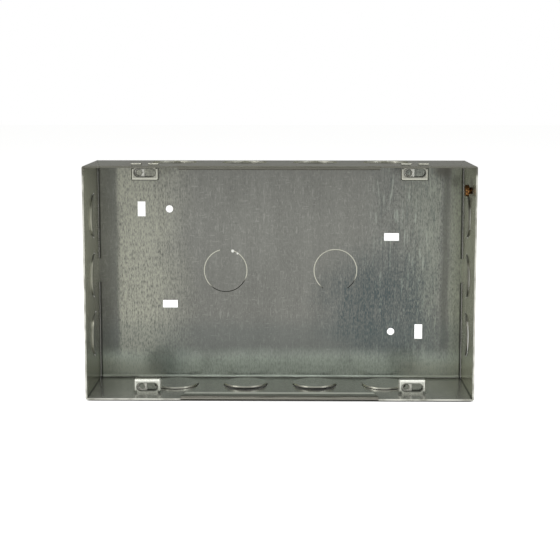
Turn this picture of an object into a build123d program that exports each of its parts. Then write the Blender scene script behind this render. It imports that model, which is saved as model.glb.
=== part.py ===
"""Flush-mounting modular metal box: a folded zinc-coated steel box with four screw lugs,
a captive sliding nut in each lug, and a brass earth screw."""
import os
from math import asin, cos, sin

from build123d import *

# Frame: X along the long walls, Y into the building's wall with the back face at 0, Z up from mid-height

# Driving dimensions of the box, in millimetres
box_width = 212.0
box_height = 128.0
box_depth = 50.0
sheet = 0.9
back_bend_inner = 1.5
end_edge_radius = 1.0

# Seams between the end walls and the rest of the sheet
seam_gap = 0.12
seam_back_end = 4.0
neck_width = 14.0
flap_front_width = 9.6
flap_weld_length = 6.0
flap_weld_behind_rim = 21.0

# Folded hem that stiffens the middle of each long wall's front edge
hem_length = 108.0
hem_depth = 9.5
hem_gap = 0.3
hem_end_angle = 75.0

# Knockouts for 25 mm conduit
knockout_radius = 12.5
knockout_behind_rim = 32.0
knockout_slit = 0.4
knockout_bridge = 3.2
bridge_root = 0.6
bridge_reach = 1.5
long_wall_pitch = 39.4
long_wall_lifts = (1.2, 1.9, 1.9, 1.2)
long_wall_drop = 0.9
end_wall_pitch = 33.8
left_wall_lifts = (0.8, 0.7, 0.7)
right_wall_lifts = (1.0, 0.9, 0.9)
back_knockout_offset = 31.8
back_knockout_shear = 0.3
back_groove_width = 0.55
back_groove_depth = 0.3
left_back_bridge = 6.4
right_back_bridge = 14.0

# Fixing holes in the back, in a pattern that reads the same turned half round
slot_long = 8.6
slot_short = 4.5
wall_screw_radius = 2.1
upright_slot_place = (-80.2, 35.8)
round_hole_place = (-64.1, 35.8)
level_slot_place = (64.1, 19.7)

# Lugs that take the cover frame's screws, each a small pressed cage
lug_pitch = 147.0
lug_behind_rim = 11.2
lug_width = 14.9
lug_height = 7.8
lug_sheet = 1.0
lug_bend_outer = 1.2
lug_corner_ease = 0.6
lug_slot_long = 11.4
lug_slot_short = 4.2
lug_slot_height = 3.5
lug_foot_notch = 1.2
lug_rear_clearance = 0.4
tab_width = 5.5
tab_pitch = 9.4
tab_clearance = 0.2
tab_foot_length = 3.2
tab_foot_thickness = 0.8
tab_bend_outer = 0.7

# Square nut that slides in each lug
nut_width = 6.0
nut_thickness = 2.0
nut_hole_radius = 1.45
nut_side_clearance = 0.2
nut_end_clearance = 0.15
nut_face_chamfer = 0.18

# Brass earth screw in the right end wall
screw_behind_rim = 17.4
screw_height = 49.5
screw_head_radius = 3.2
screw_head_height = 2.2
screw_head_edge = 0.5
screw_standoff = 1.4
screw_shank_radius = 2.0
screw_tip_length = 2.2
screw_slot_width = 1.0
screw_slot_depth = 1.1
screw_slot_angle = -35.0

# Values worked out from the driving dimensions
half_width = box_width / 2
half_height = box_height / 2
rim_y = -box_depth
inner_half_height = half_height - sheet
inner_half_width = half_width - sheet
back_bend_outer = back_bend_inner + sheet
knockout_y = rim_y + knockout_behind_rim
disc_radius = knockout_radius - knockout_slit
hem_fold_radius = sheet + hem_gap / 2
lug_front_y = rim_y + lug_behind_rim
lug_cage_gap = nut_thickness + 2 * nut_side_clearance
lug_depth = lug_cage_gap + 2 * lug_sheet
lug_rear_y = lug_front_y + lug_depth
nut_y = lug_front_y + lug_sheet + lug_cage_gap / 2
nut_rest_offset = nut_width / 2 + nut_end_clearance - (lug_width / 2 - lug_sheet)

# Each wall's outer face, with its own x along the wall, its y towards the back and its z inwards
bottom_face = Plane(origin=(0, knockout_y, -half_height), x_dir=(1, 0, 0), z_dir=(0, 0, 1))
top_face = Plane(origin=(0, knockout_y, half_height), x_dir=(-1, 0, 0), z_dir=(0, 0, -1))
left_face = Plane(origin=(-half_width, knockout_y, 0), x_dir=(0, 0, -1), z_dir=(1, 0, 0))
right_face = Plane(origin=(half_width, knockout_y, 0), x_dir=(0, 0, 1), z_dir=(-1, 0, 0))
knockout_rows = [
    (bottom_face, long_wall_pitch, long_wall_lifts, long_wall_drop),
    (top_face, long_wall_pitch, long_wall_lifts, long_wall_drop),
    (left_face, end_wall_pitch, left_wall_lifts, 0),
    (right_face, end_wall_pitch, right_wall_lifts, 0),
]


def row_offsets(count, pitch):
    """Places of count things along a line, pitch apart and centred."""
    return [(index - (count - 1) / 2) * pitch for index in range(count)]


def half_turn_pair(place):
    """A place in the back plate and its twin half a turn round the middle."""
    return [place, (-place[0], -place[1])]


# Box body: one sheet with back, long walls, end walls, corner flaps, hems and knockouts
with BuildPart() as box_body:
    # Back and long walls, bent from one strip
    with BuildSketch(Plane.YZ) as channel:
        with Locations((rim_y / 2, 0)):
            outline = Rectangle(box_depth, box_height)
        fillet(outline.vertices().group_by(Axis.X)[-1], back_bend_outer)
        with BuildSketch(mode=Mode.PRIVATE) as hollow:
            with Locations((rim_y / 2 - sheet, 0)):
                inside = Rectangle(box_depth, box_height - 2 * sheet)
            fillet(inside.vertices().group_by(Axis.X)[-1], back_bend_inner)
        add(hollow.sketch, mode=Mode.SUBTRACT)
    extrude(amount=half_width, both=True)

    # End walls, with the rounded outer edge of a bent sheet
    with BuildSketch(Plane.YZ.offset(inner_half_width), Plane.YZ.offset(-half_width)) as ends:
        with Locations((rim_y / 2, 0)):
            end_outline = Rectangle(box_depth, box_height)
        fillet(end_outline.vertices().group_by(Axis.X)[-1], back_bend_outer)
    extrude(amount=sheet)
    end_faces = box_body.faces().filter_by(Axis.X).group_by(Axis.X)
    end_edges = end_faces[0].edges() + end_faces[-1].edges()
    fillet(end_edges.filter_by(lambda edge: edge.center().Y > rim_y + sheet), end_edge_radius)

    # Seams down the back's two ends, left whole at a neck at mid-height
    with BuildSketch(Plane.XZ.offset(-sheet)) as back_seams:
        with GridLocations(2 * inner_half_width - seam_gap, 0, 2, 1):
            Rectangle(seam_gap, box_height + sheet)
        Rectangle(box_width, neck_width, mode=Mode.SUBTRACT)
    extrude(amount=sheet + seam_back_end, mode=Mode.SUBTRACT)

    # Slanted seams between the long walls and the end walls' corner flaps, each closed by a short weld
    with BuildSketch() as flap_seams:
        with BuildLine():
            back_point = (inner_half_width - seam_gap, -seam_back_end)
            front_point = (half_width - flap_front_width - seam_gap, rim_y)
            Polyline(
                back_point,
                (back_point[0] + seam_gap, back_point[1]),
                (front_point[0] + seam_gap, front_point[1]),
                front_point,
                close=True,
            )
        make_face()
        mirror(about=Plane.YZ)
        with Locations((0, rim_y + flap_weld_behind_rim)):
            Rectangle(box_width, flap_weld_length, mode=Mode.SUBTRACT)
    extrude(flap_seams.sketch, amount=half_height, both=True, mode=Mode.SUBTRACT)

    # Hems: the front edge folded in on itself
    with BuildSketch(Plane.XY.offset(-half_height), Plane.XY.offset(inner_half_height)) as hem_rooms:
        with Locations((0, rim_y + hem_fold_radius / 2)):
            Rectangle(hem_length, hem_fold_radius)
    extrude(amount=sheet, mode=Mode.SUBTRACT)
    with BuildSketch(Plane.YZ) as hem_folds:
        for fold_z in (hem_fold_radius - half_height, half_height - hem_fold_radius):
            with Locations((rim_y + hem_fold_radius, fold_z)):
                Circle(hem_fold_radius)
                Circle(hem_gap / 2, mode=Mode.SUBTRACT)
        Rectangle(2 * (box_depth - hem_fold_radius), box_height, mode=Mode.SUBTRACT)
    extrude(amount=hem_length / 2, both=True)
    hem_rise = sheet + hem_gap
    hem_levels = (Plane.XY.offset(hem_rise - half_height), Plane.XY.offset(half_height - hem_rise - sheet))
    with BuildSketch(*hem_levels) as hem_layers:
        hem_flat = hem_depth - hem_fold_radius
        with Locations((0, rim_y + hem_fold_radius + hem_flat / 2)):
            Trapezoid(hem_length, hem_flat, hem_end_angle)
    extrude(amount=sheet)

    # Knockouts in the walls: lanced discs on a strap at the back, each standing further in at the front
    for wall_face, pitch, lifts, drop in knockout_rows:
        with BuildSketch(wall_face) as holes:
            with GridLocations(pitch, 0, len(lifts), 1):
                Circle(knockout_radius)
        extrude(amount=sheet, mode=Mode.SUBTRACT)
        for offset, lift in zip(row_offsets(len(lifts), pitch), lifts):
            middle = wall_face.from_local_coords((offset, 0, 0))
            with BuildSketch(Plane(middle, x_dir=wall_face.y_dir, z_dir=wall_face.x_dir)) as strap:
                with BuildLine():
                    strap_root = knockout_radius + bridge_root
                    strap_end = knockout_radius - bridge_reach
                    Polyline(
                        (strap_root, 0),
                        (strap_root, sheet),
                        (strap_end, drop + sheet),
                        (strap_end, drop),
                        close=True,
                    )
                make_face()
            extrude(amount=knockout_bridge / 2, both=True)
            tilt = asin((lift - drop) / (2 * disc_radius))
            lean = wall_face.z_dir * cos(tilt) + wall_face.y_dir * sin(tilt)
            hinge = wall_face.from_local_coords((offset, knockout_radius, drop))
            with BuildSketch(Plane(hinge, x_dir=wall_face.x_dir, z_dir=lean)) as disc:
                with Locations((0, -knockout_radius)):
                    Circle(disc_radius)
            extrude(amount=sheet)

    # Knockouts in the back: half-sheared discs, proud inside, each with a fine groove that stops at a bridge
    with BuildSketch(Plane.XZ) as back_recesses:
        with GridLocations(2 * back_knockout_offset, 0, 2, 1):
            Circle(disc_radius)
    extrude(amount=back_knockout_shear, mode=Mode.SUBTRACT)
    with BuildSketch(Plane.XZ.offset(sheet)) as back_discs:
        with GridLocations(2 * back_knockout_offset, 0, 2, 1):
            Circle(disc_radius)
    extrude(amount=back_knockout_shear)
    with BuildSketch(Plane.XZ.offset(sheet - back_groove_depth)) as back_grooves:
        with GridLocations(2 * back_knockout_offset, 0, 2, 1):
            Circle(disc_radius + back_groove_width)
            Circle(disc_radius, mode=Mode.SUBTRACT)
        with Locations((-back_knockout_offset, knockout_radius)):
            Rectangle(left_back_bridge, knockout_radius, mode=Mode.SUBTRACT)
        with Locations((back_knockout_offset, -knockout_radius)):
            Rectangle(right_back_bridge, knockout_radius, mode=Mode.SUBTRACT)
    extrude(amount=back_groove_depth, mode=Mode.SUBTRACT)

    # Fixing holes in the back
    with BuildSketch(Plane.XZ) as fixing_holes:
        with Locations(*half_turn_pair(upright_slot_place)):
            Rectangle(slot_short, slot_long)
        with Locations(*half_turn_pair(level_slot_place)):
            Rectangle(slot_long, slot_short)
        with Locations(*half_turn_pair(round_hole_place)):
            Circle(wall_screw_radius)
    extrude(amount=sheet, mode=Mode.SUBTRACT)

    # Slots in the long walls for the lugs' tabs
    with BuildSketch(Plane.XY.offset(-half_height), Plane.XY.offset(inner_half_height)) as tab_slots:
        with Locations((0, lug_front_y + lug_sheet / 2)):
            with GridLocations(lug_pitch, 0, 2, 1):
                with GridLocations(tab_pitch, 0, 2, 1):
                    Rectangle(tab_width + 2 * tab_clearance, lug_sheet + 2 * tab_clearance)
    extrude(amount=sheet, mode=Mode.SUBTRACT)

    # Tapped hole for the earth screw
    with BuildSketch(Plane.YZ.offset(inner_half_width)) as screw_hole:
        with Locations((rim_y + screw_behind_rim, screw_height)):
            Circle(screw_shank_radius)
    extrude(amount=sheet, mode=Mode.SUBTRACT)
box_body.part.label = "box_body"

# Lug blank: a pressed cage on the bottom wall at X = 0, open towards the wall, with two clinched tabs
with BuildPart() as lug_blank:
    lug_mid_y = lug_front_y + lug_depth / 2
    with BuildSketch(Plane.YZ) as cage_profile:
        with Locations((lug_mid_y, lug_height / 2 - inner_half_height)):
            cage_side = Rectangle(lug_depth, lug_height)
        fillet(cage_side.vertices().group_by(Axis.Y)[-1], lug_bend_outer)
    extrude(amount=lug_width / 2, both=True)
    chamfer(lug_blank.edges().filter_by(Axis.Z), lug_corner_ease)
    with BuildSketch(Plane.XY.offset(-inner_half_height)) as cage_room:
        with Locations((0, lug_mid_y)):
            Rectangle(lug_width - 2 * lug_sheet, lug_cage_gap)
    extrude(amount=lug_height - lug_sheet, mode=Mode.SUBTRACT)

    # Slot through the front and rear plates
    with BuildSketch(Plane.XZ.offset(-lug_rear_y)) as lug_slot:
        with Locations((0, lug_slot_height - inner_half_height)):
            SlotOverall(lug_slot_long, lug_slot_short)
    extrude(amount=lug_depth, mode=Mode.SUBTRACT)

    # Only the front plate stands on the wall, and its foot is notched at both ends
    with BuildSketch(Plane.XY.offset(-inner_half_height)) as rear_relief:
        with Locations((0, lug_rear_y)):
            Rectangle(lug_width, 2 * (lug_depth - lug_sheet))
    extrude(amount=lug_rear_clearance, mode=Mode.SUBTRACT)
    with BuildSketch(Plane.XY.offset(-inner_half_height)) as foot_notches:
        with Locations((0, lug_front_y)):
            with GridLocations(lug_width, 0, 2, 1):
                Rectangle(2 * lug_foot_notch, 2 * lug_depth)
    extrude(amount=lug_foot_notch, mode=Mode.SUBTRACT)

    # Tabs through the wall, bent over on its outer face
    with BuildSketch(Plane.YZ) as tab_profile:
        with Locations((lug_front_y + lug_sheet / 2, -half_height + sheet / 2)):
            Rectangle(lug_sheet, sheet)
        with Locations((lug_front_y + tab_foot_length / 2, -half_height - tab_foot_thickness / 2)):
            Rectangle(tab_foot_length, tab_foot_thickness)
        outer_corners = tab_profile.vertices().group_by(Axis.Y)[0]
        fillet(outer_corners.sort_by(Axis.X)[0], tab_bend_outer)
    for tab_x in row_offsets(2, tab_pitch):
        extrude(tab_profile.sketch.moved(Location((tab_x, 0, 0))), amount=tab_width / 2, both=True)

# Nut blank: a square nut on the bottom lug's slot line at X = 0
with BuildPart() as nut_blank:
    nut_z = lug_slot_height - inner_half_height
    with BuildSketch(Plane.XZ.offset(-nut_y - nut_thickness / 2)) as nut_outline:
        with Locations((0, nut_z)):
            Rectangle(nut_width, nut_width)
    extrude(amount=nut_thickness)
    chamfer(nut_blank.faces().filter_by(Axis.Y).edges(), nut_face_chamfer)
    with BuildSketch(Plane.XZ.offset(-nut_y - nut_thickness / 2)) as nut_hole:
        with Locations((0, nut_z)):
            Circle(nut_hole_radius)
    extrude(amount=nut_thickness, mode=Mode.SUBTRACT)

# Earth screw: a slotted cheese head standing off the right end wall, its shank through the wall
with BuildPart() as earth_screw:
    screw_plane = Plane(
        origin=(inner_half_width - screw_standoff, rim_y + screw_behind_rim, screw_height),
        x_dir=(0, 0, 1),
        z_dir=(-1, 0, 0),
    )
    with BuildSketch(screw_plane) as head_outline:
        Circle(screw_head_radius)
    extrude(amount=screw_head_height)
    chamfer(earth_screw.faces().sort_by(Axis.X)[0].edges(), screw_head_edge)
    with BuildSketch(screw_plane.offset(screw_head_height - screw_slot_depth)) as driver_slot:
        Rectangle(2 * screw_head_radius, screw_slot_width, rotation=screw_slot_angle)
    extrude(amount=screw_slot_depth, mode=Mode.SUBTRACT)
    with BuildSketch(screw_plane) as shank_outline:
        Circle(screw_shank_radius)
    extrude(amount=-(screw_standoff + sheet + screw_tip_length))
earth_screw.part.label = "earth_screw"

# Written out, one file for each piece, with the lugs and nuts set in the four corners
os.makedirs("parts", exist_ok=True)
export_step(box_body.part, "parts/box_body.step")
export_step(earth_screw.part, "parts/earth_screw.step")
for level, turn in (("bottom", 0), ("top", 180)):
    for side, side_sign in (("left", -1), ("right", 1)):
        lug_x = side_sign * lug_pitch / 2
        nut_x = lug_x + nut_rest_offset
        for piece, blank, place_x in (("lug", lug_blank, lug_x), ("nut", nut_blank, nut_x)):
            with BuildPart() as placed:
                with Locations((place_x, 0, 0)):
                    add(blank.part, rotation=(0, turn, 0))
            placed.part.label = f"{piece}_{level}_{side}"
            export_step(placed.part, f"parts/{placed.part.label}.step")
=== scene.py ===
"""Flush-mounting modular metal box of zinc-coated steel sheet, dressed for a plain studio picture.

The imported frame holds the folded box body, its four pressed lugs, their sliding nuts and the earth
screw. This script gives each of them its finish, makes the nuts and the screw with real threads, and
sets up floor, lamps and camera.
"""
import logging
import math
from dataclasses import dataclass
from enum import Enum
from functools import partial, reduce

import bmesh
import bpy
from mathutils import Matrix, Vector


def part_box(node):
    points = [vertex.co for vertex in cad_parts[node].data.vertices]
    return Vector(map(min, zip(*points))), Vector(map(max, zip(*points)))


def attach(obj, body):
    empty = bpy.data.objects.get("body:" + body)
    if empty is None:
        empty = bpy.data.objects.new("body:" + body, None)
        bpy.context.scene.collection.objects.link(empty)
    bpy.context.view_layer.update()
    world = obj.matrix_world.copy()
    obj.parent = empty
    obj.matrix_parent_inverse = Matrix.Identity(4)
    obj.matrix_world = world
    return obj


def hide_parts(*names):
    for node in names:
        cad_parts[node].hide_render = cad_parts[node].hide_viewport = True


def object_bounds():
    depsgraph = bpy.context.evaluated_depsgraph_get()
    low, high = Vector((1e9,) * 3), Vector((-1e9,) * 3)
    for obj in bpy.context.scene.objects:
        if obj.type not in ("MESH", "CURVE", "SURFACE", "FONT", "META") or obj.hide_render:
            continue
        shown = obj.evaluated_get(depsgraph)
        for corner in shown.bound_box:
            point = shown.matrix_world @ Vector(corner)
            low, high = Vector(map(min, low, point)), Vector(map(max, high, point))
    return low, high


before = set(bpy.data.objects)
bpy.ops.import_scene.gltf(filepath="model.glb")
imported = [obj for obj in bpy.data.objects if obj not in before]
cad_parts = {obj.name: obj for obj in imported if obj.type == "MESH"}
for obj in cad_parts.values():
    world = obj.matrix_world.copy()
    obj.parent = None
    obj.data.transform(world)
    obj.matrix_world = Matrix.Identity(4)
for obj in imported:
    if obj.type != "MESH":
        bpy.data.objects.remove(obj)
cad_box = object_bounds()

log = logging.getLogger("metal_box")

MM = 0.001
CREASE_DEG = 32.0

Colour = tuple[float, float, float]
Point = tuple[float, float, float]
Span = tuple[float, float]
Window = tuple[float, float, float, float]
Material = bpy.types.Material
Mesh = bpy.types.Mesh
Socket = bpy.types.NodeSocket
Signal = Socket | float | Colour
Feeds = dict[str | int, Signal]


class Corner(Enum):
    """The four corners that hold a lug and its nut."""

    TOP_LEFT = "top_left"
    TOP_RIGHT = "top_right"
    BOTTOM_LEFT = "bottom_left"
    BOTTOM_RIGHT = "bottom_right"


class Slot(Enum):
    """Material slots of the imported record."""

    NUT = "nut"
    BRASS = "earth_brass"


class Body(Enum):
    """Body that carries all pieces but the nuts."""

    BOX = "box"


class Grain(Enum):
    """Noises on the sheet: waves per millimetre across and along its streaks, and octaves."""

    COLUMNS = (1.5, 0.05, 1.0)
    DASHES = (1.9, 0.50, 1.0)
    BLOTS = (0.55, 0.35, 2.0)
    WAVES = (0.045, 0.03, 1.0)
    BANDS = (0.10, 0.014, 3.0)
    DOTS = (1.3, 0.6, 1.0)
    SCRATCHES = (0.90, 0.14, 2.0)
    TICKS = (0.17, 0.85, 2.0)
    DRIFT = (0.03, 0.034, 2.0)
    # Breaks up the painted shade strip on the back.
    SHADE_BREAKUP = (0.06, 0.035, 2.0)
    LANES = (0.75, 0.075, 2.0)
    RAGGED = (0.11, 0.05, 3.0)
    CLOUDS = (0.05, 0.012, 3.0)
    DRAWN = (0.9, 0.03, 2.0)
    SCUFFS = (0.12, 0.12, 2.0)
    RIMS = (0.2, 0.2, 1.0)
    STAIN = (0.9, 0.9, 2.0)


class Graph:
    """A node tree, filled in by short calls that give back output sockets."""

    noise_roughness: float = 0.55

    def __init__(self, owner: bpy.types.ID) -> None:
        """Empties the tree.

        Args:
            owner: a material, a world or a node group.
        """
        self.owner = owner
        if isinstance(owner, bpy.types.NodeTree):
            self.tree = owner
        else:
            owner.use_nodes = True
            self.tree = owner.node_tree
        self.tree.nodes.clear()

    def feed(self, socket: Socket, value: Signal) -> None:
        """Links a socket to a signal, or sets it to a constant.

        Args:
            socket: the input to feed.
            value: an output socket, a number or a colour.
        """
        if isinstance(value, Socket):
            self.tree.links.new(value, socket)
        elif socket.type == "RGBA":
            socket.default_value = (*value, 1.0)
        else:
            socket.default_value = value

    def node(self, kind: str, feeds: Feeds | None = None, **settings: object) -> bpy.types.Node:
        """Adds a node.

        Args:
            kind: the node's type name.
            feeds: what goes into its inputs, by name or number.
            **settings: its own properties.

        Returns:
            The new node.
        """
        made = self.tree.nodes.new(kind)
        for name, value in settings.items():
            setattr(made, name, value)
        for key, value in (feeds or {}).items():
            self.feed(made.inputs[key], value)
        return made

    def out(self, kind: str, feeds: Feeds, **settings: object) -> Socket:
        """Adds a node and gives back its first output."""
        return self.node(kind, feeds, **settings).outputs[0]

    def math(self, operation: str, *values: Signal) -> Socket:
        """Result of one Math node, by its inputs in order."""
        return self.out("ShaderNodeMath", dict(enumerate(values)), operation=operation)

    def product(self, *values: Signal) -> Signal:
        """Product of the signals."""
        return reduce(partial(self.math, "MULTIPLY"), values)

    def total(self, *values: Signal) -> Signal:
        """Sum of the signals."""
        return reduce(partial(self.math, "ADD"), values)

    def largest(self, *values: Signal) -> Signal:
        """Largest of the signals."""
        return reduce(partial(self.math, "MAXIMUM"), values)

    def minus(self, first: Signal, second: Signal) -> Socket:
        """The first signal less the second."""
        return self.math("SUBTRACT", first, second)

    def size(self, value: Signal) -> Socket:
        """A signal without its sign."""
        return self.math("ABSOLUTE", value)

    def reach(self, across: Signal, up: Signal) -> Socket:
        """Distance that lies this far across and this far up."""
        return self.math("SQRT", self.total(self.product(across, across), self.product(up, up)))

    def band(
        self, value: Signal, start: float, end: float, low: float = 0.0, high: float = 1.0
    ) -> Socket:
        """Goes smoothly from low at start to high at end, and may run downwards."""
        feeds = {"Value": value, "From Min": start, "From Max": end, "To Min": low, "To Max": high}
        return self.out("ShaderNodeMapRange", feeds, interpolation_type="SMOOTHSTEP")

    def window(self, value: Signal, start: float, full: float, last: float, end: float) -> Signal:
        """Rises smoothly from start to full, and falls again from last to end."""
        return self.product(self.band(value, start, full), self.band(value, end, last))

    def stretch(self, value: Signal, low: float, high: float) -> Socket:
        """Spreads a signal of 0 to 1 over another range."""
        return self.out("ShaderNodeMapRange", {"Value": value, "To Min": low, "To Max": high})

    def combine(self, x: Signal, y: Signal, z: Signal) -> Socket:
        """Vector of three numbers."""
        return self.out("ShaderNodeCombineXYZ", {0: x, 1: y, 2: z})

    def split(self, vector: Socket) -> tuple[Socket, ...]:
        """The x, y and z of a vector."""
        return tuple(self.node("ShaderNodeSeparateXYZ", {0: vector}).outputs)

    def noise(self, place: Socket, detail: float) -> Socket:
        """Noise of 0 to 1 and unit scale, with the given octaves."""
        feeds = {"Vector": place, "Scale": 1.0, "Detail": detail, "Roughness": self.noise_roughness}
        return self.out("ShaderNodeTexNoise", feeds, noise_dimensions="3D")

    def own_noise(self, waves: Point, detail: float) -> Socket:
        """Noise on the piece's own coordinates, by waves per millimetre along each axis."""
        place = self.out("ShaderNodeVectorMath", {0: self.millimetres(), 1: waves}, operation="MULTIPLY")
        return self.noise(place, detail)

    def blend(self, share: Signal, first: Signal, second: Signal) -> Socket:
        """Mixes two colours: a share of 0 gives the first, 1 the second."""
        feeds = {"Factor": share, 6: first, 7: second}
        return self.node("ShaderNodeMix", feeds, data_type="RGBA", clamp_factor=True).outputs[2]

    def shade(self, colour: Signal, tone: Signal) -> Socket:
        """Makes a colour lighter or darker; a tone of 1 leaves it as it is."""
        return self.out("ShaderNodeVectorMath", {0: colour, "Scale": tone}, operation="SCALE")

    def millimetres(self) -> Socket:
        """The piece's own coordinates, in millimetres."""
        return self.shade(self.node("ShaderNodeTexCoord").outputs["Object"], 1.0 / MM)

    def normal(self) -> Socket:
        """The piece's own normal."""
        return self.node("ShaderNodeTexCoord").outputs["Normal"]

    def bump(self, height: Signal, depth_mm: float, strength: float) -> Socket:
        """Normal bumped by a height of 0 to 1, where 1 stands for the depth."""
        feeds = {"Strength": strength, "Distance": depth_mm * MM, "Height": height}
        return self.out("ShaderNodeBump", feeds)

    def seen(self) -> Signal:
        """1 for camera, glossy and transmission rays, which look at the background, else 0."""
        path = self.node("ShaderNodeLightPath").outputs
        return self.largest(*(path[f"Is {kind} Ray"] for kind in ("Camera", "Glossy", "Transmission")))

    def close(self, shader: Socket, output: str = "ShaderNodeOutputMaterial") -> bpy.types.ID:
        """Ends the tree in its output, and gives back its owner."""
        self.node(output, {"Surface": shader})
        return self.owner

    def metal(
        self, colour: Signal, rough: Signal, normal: Signal, metallic: Signal, gleam: Signal
    ) -> Material:
        """Closes the tree with part-oxidised metal, whose shine takes its gleam at grazing angles."""
        feeds = {"Base Color": colour, "Roughness": rough, "Normal": normal, "Metallic": metallic}
        return self.close(self.out("ShaderNodeBsdfPrincipled", feeds | {"Specular Tint": gleam}))


@dataclass(frozen=True)
class SheetPlaces:
    """Places on the folded sheet that its finish depends on, in millimetres.

    A pair runs from where a coat begins to show to where it is full. Four numbers also tell from where
    to where it fades again.
    """

    half_width: float = 106.0
    half_height: float = 64.0
    sheet: float = 0.9
    neck_half: float = 7.0
    past_neck: Span = (-0.3, 0.1)
    rim: float = -50.0
    rim_depth: Span = (3.0, 2.0)
    hem_half: float = 54.0
    hem_ends: Span = (0.3, 0.0)
    hem_free_edge: float = -40.5
    hem_cut: Span = (0.2, 0.0)
    # Painted highlight band behind the lower hem's free edge.
    hem_highlight: Span = (-4.0, -3.0)
    hem_inner: float = 61.9
    hem_skin: Span = (1.3, 1.0)
    # Spans where painted shade lies in seams, corners, wall foot and bends.
    seam: Span = (-1.5, -0.9)
    seam_depth: Span = (-2.2, -1.6)
    corner: Span = (-0.9, -0.3)
    wall_skin: Span = (-0.6, -0.3)
    wall_foot: Span = (-9.5, -6.0)
    bend_foot: Span = (-5.0, -4.0)
    middle: Span = (-1.0, 1.0)
    below_middle: Span = (0.0, -1.0)
    ring_offset: float = 31.8
    ring_inner: float = 12.1
    ring_outer: float = 12.65
    ring_soft: float = 0.15
    ring_floor: float = -0.6
    ring_depth: Window = (-0.25, -0.1, 0.1, 0.25)
    ring_outline: Window = (-0.5, -0.2, 0.0, 0.3)
    ring_tilt: float = 0.2
    # Painted highlight above this level in the back's knockout grooves, painted shade below.
    ring_highlight_edge: Span = (-9.0, -5.5)
    # Nicks on the left ring, each with a painted glint.
    nick_glints_deg_and_reach: tuple[Span, ...] = ((70.0, 1.1), (55.0, 0.75))
    hole_radius: float = 12.5
    hole_y: float = -18.0
    hole_front: Span = (-1.0, -5.0)
    # Painted highlight and shade lines round the walls' knockout holes.
    hole_highlight: Window = (-0.5, -0.3, 0.3, 0.6)
    hole_shade_inside: Window = (-6.0, -3.0, -0.8, -0.4)
    hole_shade_outside: Window = (-0.2, 0.0, 0.6, 1.4)
    long_pitch: float = 39.4
    end_pitch: float = 33.8
    screw: Point = (105.1, -32.6, 49.5)
    screw_stain: Span = (9.0, 4.5)
    outer_skin: Span = (-4.5, -3.5)
    back_skin: Span = (-3.6, -3.0)
    back_face: Span = (-3.4, -2.2)
    front_edges: Span = (-3.0, -3.8)
    top_rim: Span = (58.0, 60.0)
    end_walls: Span = (99.0, 101.0)
    calm: Span = (98.0, 93.0)
    lively: Span = (40.0, 78.0)
    lower_half: Span = (32.0, -14.0)
    floor_ends: Span = (40.0, 80.0)
    left_head: Span = (-50.0, 10.0)
    drift: Span = (-12.0, 12.0)
    # Painted shade strip beside the left end wall.
    end_wall_shade_strip: Window = (-106.0, -95.0, -95.5, -92.3)
    pale_start: Span = (-95.5, -92.3)
    pale_end: Span = (-46.0, -80.0)
    moss_start: Span = (64.0, 88.0)
    moss_end: Span = (94.0, 90.5)
    moss_sinks: Span = (-6.0, -34.0)
    seam_strip: Span = (96.6, 99.0)
    lanes: Window = (40.0, 66.0, 88.0, 100.0)
    mossy_lanes: Span = (78.0, 90.0)
    # Painted shadow line on the right of the back.
    shadow_line: Window = (92.2, 94.6, 95.4, 97.6)
    shadow_line_foot: Span = (-50.0, -42.0)
    # Painted shadow spot near the back's top right corner.
    shadow_spot: Point = (93.2, -0.9, 59.0)
    shadow_spot_reach: Span = (8.0, 2.0)
    patch_x: float = 57.0
    patch_z: float = -22.0
    patch_reach: Span = (46.0, 12.0)
    cool_edge: Span = (-24.0, -38.0)
    # Painted reflection: pale foot of the back.
    pale_foot_reflection: Span = (-44.0, -56.0)
    foot_spot: Point = (-64.5, -0.9, -52.0)
    foot_spot_reach: Span = (17.0, 3.0)
    low_margin: Span = (-50.0, -57.0)
    low_margin_start: Span = (64.0, 76.0)


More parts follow.
